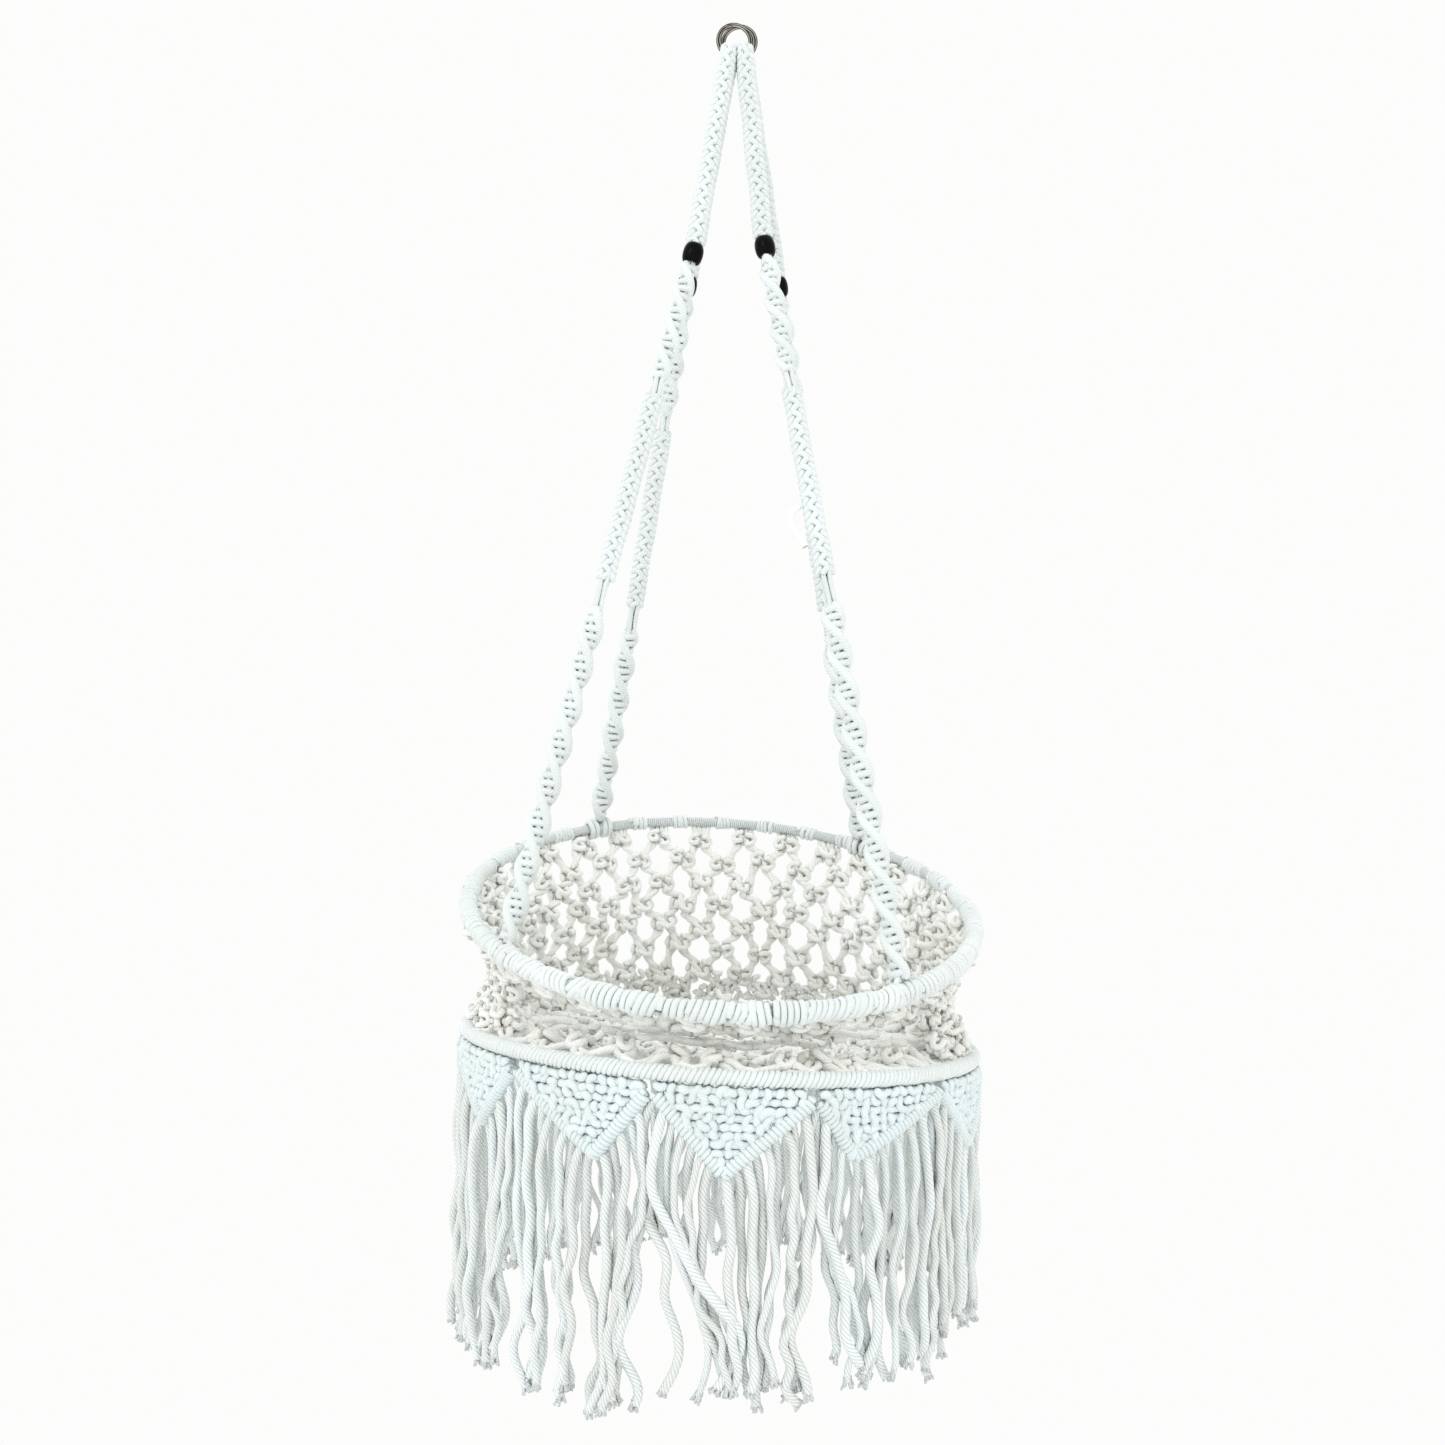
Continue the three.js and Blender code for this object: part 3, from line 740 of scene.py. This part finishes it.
def surface_axes(point_at, angle, rise, spin, scale):
    """Knot axes on a surface: across, outward and up, turned by spin in the surface."""
    e = 0.01
    across = unit(point_at(angle + e, rise) - point_at(angle - e, rise))
    up = unit(point_at(angle, rise + e) - point_at(angle, rise - e))
    out = unit(np.cross(across, up))
    up = np.cross(out, across)
    c, s = np.cos(spin)[:, None], np.sin(spin)[:, None]
    return np.stack([across * c + up * s, out, up * c - across * s], -1) * scale[:, None, None]


def knotted_net(name, point_at, rows, columns, cord, ragged=0.0, keep=None):
    """Alternating square knots joined by doubled cords. rows holds each row's rise, ragged how
    uneven the knots are, and keep tells which knots are there."""
    knots, cords = Piece(f"{name}_knots"), Piece(f"{name}_cords")
    template = square_knot_template(cord)
    rows = np.asarray(rows)
    j, i = (v.ravel() for v in np.indices((len(rows), columns)))
    count = len(i)
    angles = TAU * (i + 0.5 * (j % 2)) / columns + rng.normal(0, 0.008 + 0.02 * ragged, count)
    rises = rows[j] + rng.normal(0, 0.012 + 0.02 * ragged, count)
    origins = point_at(angles, rises)
    spins = rng.normal(0, 0.14 + 0.35 * ragged, count)
    plain = surface_axes(point_at, angles, rises, spins, rng.uniform(0.88, 1.05, count))
    faced = plain.copy()
    faced[rng.uniform(size=count) < 0.5, :, :2] *= -1
    there = np.ones(count, bool) if keep is None else keep(angles, rises)
    knots.copies(template, origins[there], faced[there])
    paths = []
    for k in np.flatnonzero((j + 1 < len(rows)) & there):
        left = i[k] if j[k] % 2 else (i[k] - 1) % columns
        for sign, column in ((-1, left), (1, (left + 1) % columns)):
            target = (j[k] + 1) * columns + column
            for lane in (0.7, 1.5):
                a = origins[k] + plain[k] @ (sign * lane * cord, 0, 1.1 * cord)
                b = origins[target] + plain[target] @ (-sign * lane * cord, 0, -1.1 * cord)
                reach = np.linalg.norm(b - a) * 0.7
                ta, tb = unit(plain[k][:, 2]), unit(plain[target][:, 2])
                out = unit(plain[k][:, 1]) * rng.normal(0, 0.25) * cord
                t = np.linspace(0, 1, 8)[:, None]
                h1, h2 = 2 * t ** 3 - 3 * t ** 2 + 1, t ** 3 - 2 * t ** 2 + t
                h3, h4 = 3 * t ** 2 - 2 * t ** 3, t ** 3 - t ** 2
                paths.append(h1 * a + h2 * reach * ta + h3 * b + h4 * reach * tb
                             + np.sin(t * math.pi) * out)
    cords.cords(paths, cord, 7)
    return knots, cords


def net_wall():
    """The net between the hoops, shaped from the upper hoop down to the lower hoop."""
    rows = 0.055 + 0.89 * np.arange(NET_ROWS) / (NET_ROWS - 1)
    wall = knotted_net("net_wall", net_point, rows, NET_COLUMNS, NET_CORD, 0.15, keep=net_hangs)
    for piece in (*wall, net_head(), net_foot(), net_folds()):
        obj = piece.build(INNER_COTTON)
        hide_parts("net_wall")
        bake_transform(obj)


def net_hangs(angle, rise):
    """The slack net at the low front lies folded, so only its upper rows hang as a wall."""
    return (np.sin(angle) > -0.5) | (rise > 0.62)


def net_folds():
    """Slack net pulled into bundles that run along the low front, inside and under the hoop."""
    piece = Piece("net_wall_folds")
    for _ in range(FRONT_FOLDS):
        start, length = rng.uniform(205, 325), rng.uniform(14, 30)
        angle = np.radians(np.linspace(start, start + length, 12))
        inward = rng.uniform(30, 64) + rng.normal(0, 3, 12)
        height = rng.uniform(13, 21) + 1.6 * np.sin(np.linspace(0, rng.uniform(2, 7), 12))
        path = lower.at(angle, -inward * MM, height * MM)
        piece.cords([smooth_path(path, 30)], NET_CORD * rng.uniform(0.8, 1.15), 7)
    return piece


def net_head():
    """The doubled cords that carry the top row of knots from the hoop."""
    piece = Piece("net_wall_head")
    paths = []
    for column in range(NET_COLUMNS):
        angle = TAU * (column + 0.5) / NET_COLUMNS
        for lane in (-1.6, -0.55, 0.55, 1.6):
            spread = np.array([1.5, 1.1, 0.7]) * lane * NET_CORD * 0.62 / HOOP_RADIUS
            paths.append(smooth_path(net_point(angle + spread, np.array([1.05, 0.99, 0.94])), 6))
    piece.cords(paths, NET_CORD, 7)
    return piece


def net_foot():
    """The close band of knots where the net is tied down round the lower hoop."""
    spots = [(TAU * (k + 0.5 * row) / NET_FOOT_KNOTS, 0.02 + 0.042 * row)
             for row in range(NET_FOOT_ROWS) for k in range(NET_FOOT_KNOTS)]
    spots = [(angle, rise) for angle, rise in spots if math.sin(angle) > -0.5]
    piece = Piece("net_wall_foot")
    paths = []
    for angle, rise in spots:
        a = rng.uniform(0, TAU) + rng.choice((-1, 1)) * rng.uniform(1.6, 2.8) * np.linspace(0, 1, 7)
        bend = rng.uniform(2.2, 4.0) * MM
        out = -rng.uniform(0.5, 2.5) * MM
        paths.append(net_point(angle + bend * np.cos(a) / HOOP_RADIUS,
                               rise + bend * np.sin(a) / (130 * MM), out))
    piece.cords(paths, NET_FOOT_CORD, 7)
    return piece


# ---- the seat ----
def seat_point(angle, inward):
    """A point on the slack seat: inward 0 is at the hoop and 1 at the centre."""
    angle, inward = np.broadcast_arrays(np.asarray(angle, float), np.asarray(inward, float))
    radius_in = -HOOP_RADIUS * inward - 2 * MM
    sag = -(2 + 6 * np.sin(np.clip(inward, 0, 1) * math.pi / 2)) * MM
    return lower.at(angle, radius_in, sag)


def seat_net():
    """Knots that get fewer towards the centre, in two rings, and the lacing that carries them."""
    inner = knotted_net("seat_net_inner", seat_point, SEAT_INNER_ROWS, SEAT_INNER_COLUMNS, NET_CORD)
    middle = knotted_net("seat_net_middle", seat_point, SEAT_MIDDLE_ROWS, SEAT_MIDDLE_COLUMNS,
                         NET_CORD * 0.85, 0.4)
    for piece in (*middle, *inner):
        finish(piece, "lower_hoop", "seat_net", INNER_COTTON)
    finish(rim_lacing(), "lower_hoop", "seat_net", LACING_COTTON)


def rim_lacing():
    """Doubled cords that zigzag between the hoop and knots inside it, in wide open diamonds."""
    piece = Piece("seat_net_rim_lacing")
    nodes = []
    for row, (inward, height) in enumerate(zip(LACING_INWARD, LACING_HEIGHTS)):
        angle = TAU * (np.arange(LACING_COLUMNS) + 0.5 * (row % 2)) / LACING_COLUMNS
        loose = MM * (row > 0)
        angle = angle + rng.normal(0, 5.0, LACING_COLUMNS) * loose / HOOP_RADIUS
        depth = inward * MM + rng.normal(0, 3.5, LACING_COLUMNS) * loose
        up = height * MM + rng.normal(0, 2, LACING_COLUMNS) * loose
        nodes.append(lower.at(angle, -depth, up))
    strands = []
    for row in range(2):
        for i in range(LACING_COLUMNS):
            for step in (0, 1):
                a = nodes[row][i]
                b = nodes[row + 1][(i + step - (1 - row % 2)) % LACING_COLUMNS]
                across = unit(np.cross(b - a, (0, 0, 1.0)) + rng.normal(0, 0.004, 3))
                for lane in (-1, 1):
                    shift = across * lane * 2.6 * MM + np.array([0, 0, lane * 0.7 * MM])
                    bow = np.array([0, 0, rng.uniform(-3, 0.5) * MM]) + across * rng.normal(0, 2.0 * MM)
                    line = [a + shift * 0.6, a * 0.7 + b * 0.3 + shift + bow,
                            a * 0.35 + b * 0.65 + shift - bow * 0.6, b + shift * 0.5]
                    strands.append(smooth_path(line, 12))
    piece.cords(strands, LACING_CORD * rng.uniform(0.8, 1.15, len(strands)), 9)
    axes = []
    for i in range(LACING_COLUMNS):
        tangent, out, up = lower.axes(TAU * (i + 0.5) / LACING_COLUMNS).T
        c, d = math.cos(i * 2.4), math.sin(i * 2.4)
        axes.append(np.stack([tangent * c + out * d, up, out * c - tangent * d], -1))
    piece.copies(square_knot_template(LACING_CORD), nodes[1], np.array(axes))
    return piece


# ---- the skirt ----
def pennant_point(middle, x, z, out):
    """x is the distance along the hoop from the pennant's middle, z the height over the hoop, and
    out the distance outward."""
    point = lower.at(middle + np.asarray(x) / HOOP_RADIUS, out)
    return point + np.stack([0 * np.asarray(z), 0 * np.asarray(z), z], -1)


def pennant_edge(across, skew, drop):
    """Height of the hitched edge at -1 to 1 across; skew moves the tip sideways."""
    across = np.asarray(across, float)
    shifted = np.where(across < skew, (across - skew) / (1 + skew), (across - skew) / (1 - skew))
    return PENNANT_TOP - 5 * MM - (drop - 8 * MM) * (1 - np.abs(shifted))


def pennant_span(z, skew, drop, margin):
    """How far the pennant's ground reaches to the left and right at a height."""
    depth = max(0.0, (PENNANT_TOP - 5 * MM - z) / (drop - 8 * MM))
    left, right = -1 + (1 + skew) * depth, 1 - (1 - skew) * depth
    return left * PENNANT_HALF + margin, right * PENNANT_HALF - margin


def pennant(number, middle, skew, drop):
    """A triangle of close lumpy knots between two hitched edges."""
    piece = Piece(f"pennant_{number}_knots")
    lumps, backing = [], []
    eighths = np.linspace(0, 1, 8)
    for row in range(PENNANT_ROWS):
        z = PENNANT_TOP - 2.5 * MM - PENNANT_ROW_PITCH * row
        x0, x1 = pennant_span(z, skew, drop, 5 * MM)
        if x1 <= x0:
            continue
        for x in np.arange(x0 + 3 * MM * (row % 2), x1, PENNANT_KNOT_PITCH):
            x += rng.normal(0, 0.6 * MM)
            a = rng.uniform(0, TAU) + rng.choice((-1, 1)) * rng.uniform(1.6, 2.8) * eighths
            bend = rng.uniform(2.2, 5.0) * MM
            cx, cz = x - bend * math.cos(a[4]), z - bend * math.sin(a[4])
            height = np.minimum(cz + bend * np.sin(a), PENNANT_TOP - 1 * MM)
            out = rng.uniform(0.9, 2.3) * MM + 0.9 * MM * np.cos(np.linspace(-1.6, 1.6, 8))
            for face in (-1, 1):
                lumps.append(pennant_point(middle, cx + bend * np.cos(a), height, face * out))
        for face in (-1, 1):
            x = np.linspace(x0, x1, 8)
            backing.append(pennant_point(middle, x, z + 0 * x, face * 0.7 * MM))
    piece.cords(lumps, PENNANT_CORD * rng.uniform(0.85, 1.1, len(lumps)), 9, LUMP_TAPER)
    piece.cords(backing, PENNANT_BACKING_CORD, 7)
    for side in (-1, 1):
        hitched_edge(piece, middle, skew, drop, side)
    finish(piece, f"pennant_{number}", f"pennant_{number}", PENNANT_COTTON)


def hitched_edge(piece, middle, skew, drop, side):
    """Double half hitches over a slanting cord, from the hoop down to the tip."""
    across = np.linspace(side * 0.97, skew - side * 0.05, 140)
    x = across * PENNANT_HALF
    z = pennant_edge(across, skew, drop)
    core = pennant_point(middle, x, z, (1.6 + 0.5 * side) * MM)
    piece.cords([core[::6]], HITCH_CORD)
    steps = np.concatenate([[0], np.cumsum(np.linalg.norm(np.diff(core, axis=0), axis=1))])
    turns = steps[-1] / PENNANT_HITCH_PITCH
    t = np.linspace(0, turns, int(turns * 12) + 1)
    s = t * PENNANT_HITCH_PITCH
    centre = np.stack([np.interp(s, steps, core[:, i]) for i in range(3)], -1)
    tangent = unit(np.gradient(centre, axis=0))
    outward = core - pennant_point(middle, x, z, -5 * MM)
    out = unit(np.stack([np.interp(s, steps, v) for v in outward.T], -1))
    cross = np.cross(tangent, out)
    a = TAU * t
    reach = 3.1 * MM * (1 + 0.05 * np.sin(a / 7 + side))
    path = centre + (reach * np.cos(a))[:, None] * out + (reach * np.sin(a))[:, None] * cross
    piece.cords([path], PENNANT_HITCH_CORD)


def fringe(number, middle, skew, drop, bottom):
    """Loose cords that leave the hitched edges, turn down, wave, gather into clumps and hang."""
    piece = Piece(f"fringe_{number}_cords")
    t = np.linspace(0, 1, 96)
    clumps = np.sort(rng.uniform(-0.95, 0.95, FRINGE_CLUMPS)) * PENNANT_HALF
    paths = []
    for i in range(FRINGE_COUNT):
        across = -0.96 + 1.92 * i / (FRINGE_COUNT - 1)
        side = -1 if across < skew else 1
        x0 = across * PENNANT_HALF
        z0 = float(pennant_edge(across, skew, drop)) - 1.5 * MM
        layer = (3.2 if i % 2 else -3.4) * MM + rng.normal(0, 1.0 * MM)
        z1 = bottom + rng.normal(0, 6 * MM)
        z = z0 + (z1 - z0) * t
        fall = (z0 - z) / (160 * MM)
        turn = 1 - np.exp(-(z0 - z) / (9 * MM))
        x = x0 + side * rng.uniform(4, 8) * MM * turn + rng.normal(0, 2.5 * MM) * fall
        clump = clumps[np.argmin(np.abs(clumps - x0))]
        pull = np.clip((fall - 0.3) / 0.55, 0, 1)
        x = x + (clump - x) * rng.uniform(0.25, 0.8) * pull * pull * (3 - 2 * pull)
        for wave in (1, 2):
            length = rng.uniform(50, 100) / wave * MM
            size = (0.7 + 4.6 * fall ** 1.2) * MM / wave * rng.uniform(0.2, 1.2)
            x = x + size * np.sin(TAU * (z - z0) / length + rng.uniform(0, TAU))
        length = rng.uniform(50, 110) * MM
        size = (0.4 + 2.6 * fall) * MM
        out = layer * turn + size * np.sin(TAU * (z - z0) / length + rng.uniform(0, TAU))
        # the last stretch curls a little
        x = x + rng.normal(0, 3.0 * MM) * np.clip((t - 0.85) / 0.15, 0, 1) ** 2
        paths.append(pennant_point(middle, x, z, out))
    taper = np.ones(len(t))
    taper[:3] = 0.75, 0.85, 0.95
    piece.cords(paths, FRINGE_CORD * rng.uniform(0.72, 1.1, FRINGE_COUNT), 10, taper)
    frayed_ends(piece, paths)
    finish(piece, f"pennant_{number}", f"fringe_{number}", FRINGE_COTTON)


def frayed_ends(piece, paths):
    """Yarns that have come loose from the cut end of each cord and spread like a small brush."""
    yarns = []
    t = np.linspace(0, 1, 6)[:, None]
    for path in paths:
        tip, direction = path[-1], unit(path[-1] - path[-6])
        side = unit(np.cross(direction, (0.3, 1, 0.1)))
        depth = np.cross(direction, side)
        for a in rng.uniform(0, TAU, YARNS_IN_FRAY):
            radial = side * math.cos(a) + depth * math.sin(a)
            start = tip + radial * rng.uniform(0.6, 1.9) * MM - direction * 3 * MM
            length = rng.uniform(5, 7.5) * MM
            yarns.append(start + (direction + radial * t * rng.uniform(0.1, 0.42)) * length * t)
    piece.cords(yarns, FRAY_YARN, 5, np.linspace(1, 0.8, 6))


def skirt():
    """All the pennants and fringes. Three tips in front have a set skew and the rest a random one."""
    skews = {0: -0.12, 1: -0.5, 10: 0.3}
    for i, (drop, bottom) in enumerate(zip(PENNANT_DROPS, FRINGE_BOTTOMS)):
        number = f"{i + 1:02d}"
        middle = FIRST_PENNANT + i * PENNANT_PITCH
        skew = skews.get(i, float(rng.uniform(-0.25, 0.25)))
        pennant(number, middle, skew, drop * MM)
        fringe(number, middle, skew, drop * MM, bottom * MM)


# ---- the loose cord end ----
def loose_tail():
    """The trimmed cord end, and the line along its middle."""
    start, _, direction, side, _ = leg_line("front_right")
    depth = np.cross(-direction, side)
    points = [start + side * x * MM + depth * y * MM - direction * z * MM for x, y, z in TAIL_ROUTE]
    path = smooth_path(points, 24)
    piece = Piece("loose_cord_end")
    piece.cords([path], TAIL_CORD, 10)
    return finish(piece, "harness", "loose_cord_tail", INNER_COTTON), path


# ---- stage ----
def seen_and_cast(tree, shader_type):
    """A glow that the camera sees as the pale backdrop and that lights the cords more strongly."""
    node = tree.nodes.new(shader_type)
    node.inputs["Color"].default_value = BACKDROP
    path = tree.nodes.new("ShaderNodeLightPath")
    strength = tree.nodes.new("ShaderNodeMix")
    tree.links.new(path.outputs["Is Camera Ray"], strength.inputs[0])
    strength.inputs[2].default_value = CAST_STRENGTH
    strength.inputs[3].default_value = SEEN_STRENGTH
    tree.links.new(strength.outputs[0], node.inputs["Strength"])
    return node


def stage():
    """A wide floor under the object in the tone of the backdrop."""
    mesh = bpy.data.meshes.new("floor")
    corners = [(x * FLOOR_HALF, y * FLOOR_HALF, FLOOR_Z)
               for x, y in ((-1, -1), (1, -1), (1, 1), (-1, 1))]
    mesh.from_pydata(corners, [], [(0, 1, 2, 3)])
    floor = bpy.data.objects.new("floor", mesh)
    bpy.context.collection.objects.link(floor)
    material = bpy.data.materials.new("pale_floor")
    material.use_nodes = True
    tree = material.node_tree
    tree.nodes.clear()
    glow = seen_and_cast(tree, "ShaderNodeEmission")
    out = tree.nodes.new("ShaderNodeOutputMaterial")
    tree.links.new(glow.outputs[0], out.inputs["Surface"])
    mesh.materials.append(material)


def key_light():
    """A soft light from the upper left front, aimed at the middle of the planter."""
    data = bpy.data.lights.new("key", "AREA")
    data.size = 0.9
    data.energy = 8
    data.color = (0.93, 0.97, 1.0)
    light = bpy.data.objects.new("key", data)
    bpy.context.collection.objects.link(light)
    light.location = (-0.9, -1.6, 0.9)
    aim = Vector((0, 0, -0.6)) - light.location
    light.rotation_euler = aim.to_track_quat("-Z", "Y").to_euler()


def surroundings():
    world = bpy.data.worlds.new("studio")
    bpy.context.scene.world = world
    world.use_nodes = True
    tree = world.node_tree
    tree.nodes.clear()
    background = seen_and_cast(tree, "ShaderNodeBackground")
    out = tree.nodes.new("ShaderNodeOutputWorld")
    tree.links.new(background.outputs[0], out.inputs["Surface"])
    bpy.context.scene.view_settings.view_transform = "Standard"


# ---- assembly ----
make_camera()
tail, tail_path = loose_tail()
split_ring(-1, "split_ring_left")
split_ring(1, "split_ring_right")
rope_loop("left_rope_loop", "front_left", "back_left", -1)
rope_loop("right_rope_loop", "front_right", "back_right", 1)
for leg_name in LEGS:
    bead(leg_name)
    leg(leg_name)
    hitch(leg_name)
lower_wrap()
upper_wrap()
net_wall()
seat_net()
skirt()
for rod in ("upper_hoop_rod", "lower_hoop_rod"):
    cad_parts[rod].data.materials.clear()
    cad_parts[rod].data.materials.append(ROD_STEEL)
stage()
surroundings()
key_light()
